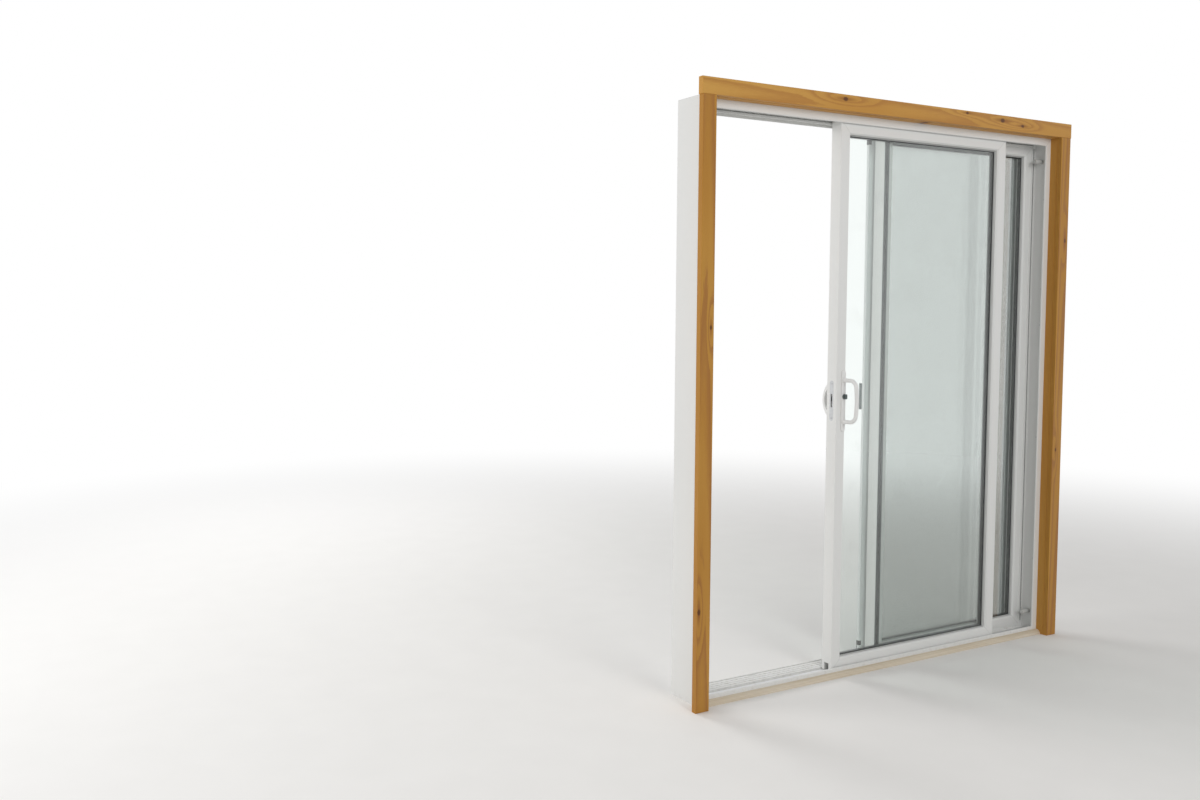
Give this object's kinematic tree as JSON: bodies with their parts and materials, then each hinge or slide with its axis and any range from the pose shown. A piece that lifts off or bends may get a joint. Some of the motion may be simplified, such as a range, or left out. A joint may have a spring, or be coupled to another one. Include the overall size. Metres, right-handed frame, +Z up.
{
  "type": "sliding patio door",
  "caption": "Vinyl sliding patio door in a timber casing: a sliding glazed leaf, a fixed glazed leaf and a sliding insect screen.",
  "frame": {"origin": "on the underside of the sill, at the middle of its length and of the frame's depth", "axes": "+X to the right seen from the room, +Y outdoors, +Z up"},
  "size_m": [1.902, 0.2032, 2.088],
  "materials": {
    "vinyl_white": "white rigid vinyl extrusion, satin",
    "pine_oiled": "knotty pine board, clear oiled, honey coloured",
    "strip_pale_wood": "pale wood moulding, satin lacquer",
    "glass_clear": "clear float glass with a faint green tint",
    "spacer_dark": "dark warm-edge spacer bar and sealant",
    "interlock_charcoal": "charcoal interlock strip with dark wool pile",
    "rail_aluminium": "mill finish aluminium, rubbed bright on top",
    "hardware_steel": "zinc plated steel",
    "bumper_rubber": "pale grey soft rubber",
    "handle_white": "white moulded plastic, semi-gloss",
    "screen_frame": "roll-formed aluminium, white paint",
    "screen_mesh": "charcoal coated fibreglass insect mesh",
    "corner_black": "black moulded plastic",
    "handle_grey": "dark grey moulded plastic"
  },
  "bodies": {
    "frame": {"frame_head": "vinyl_white", "frame_sill": "vinyl_white", "frame_jamb_left": "vinyl_white", "frame_jamb_right": "vinyl_white", "roller_rail": "rail_aluminium", "sill_cover": "vinyl_white", "head_cover": "vinyl_white", "jamb_cover": "vinyl_white", "lock_keeper": "hardware_steel", "stop_bumpers": "bumper_rubber", "fixed_meeting_stile": "vinyl_white", "fixed_jamb_stile": "vinyl_white", "fixed_top_rail": "vinyl_white", "fixed_bottom_rail": "vinyl_white", "fixed_glass": "glass_clear", "fixed_spacer": "spacer_dark", "fixed_interlock": "interlock_charcoal", "liner_left": "pine_oiled", "liner_right": "pine_oiled", "liner_head": "pine_oiled", "casing_left": "pine_oiled", "casing_right": "pine_oiled", "casing_head": "pine_oiled", "floor_strip": "strip_pale_wood"},
    "slider": {"slider_lock_stile": "vinyl_white", "slider_meeting_stile": "vinyl_white", "slider_top_rail": "vinyl_white", "slider_bottom_rail": "vinyl_white", "slider_glass": "glass_clear", "slider_spacer": "spacer_dark", "slider_interlock": "interlock_charcoal", "roller_carriages": "hardware_steel", "roller_wheels": "hardware_steel", "pull_plate": "handle_white", "pull_inner": "handle_white", "pull_outer": "handle_white", "lock_faceplate": "hardware_steel"},
    "latch": {"thumb_latch": "handle_grey"},
    "screen": {"screen_pull_stile": "screen_frame", "screen_far_stile": "screen_frame", "screen_top_rail": "screen_frame", "screen_bottom_rail": "screen_frame", "screen_mesh": "screen_mesh", "screen_corners": "corner_black", "screen_handle": "handle_grey"}
  },
  "joints": [
    {"name": "door_slide", "type": "slide", "parent": "frame", "child": "slider", "axis": [1, 0, 0], "range_m": [-0.6, 0.205]},
    {"name": "latch_turn", "type": "hinge", "parent": "slider", "child": "latch", "pos_m": [-0.24, -0.062, 1.026], "axis": [0, 1, 0], "range_deg": [0, 90]},
    {"name": "screen_slide", "type": "slide", "parent": "frame", "child": "screen", "axis": [1, 0, 0], "range_m": [-0.844, 0]}
  ]
}
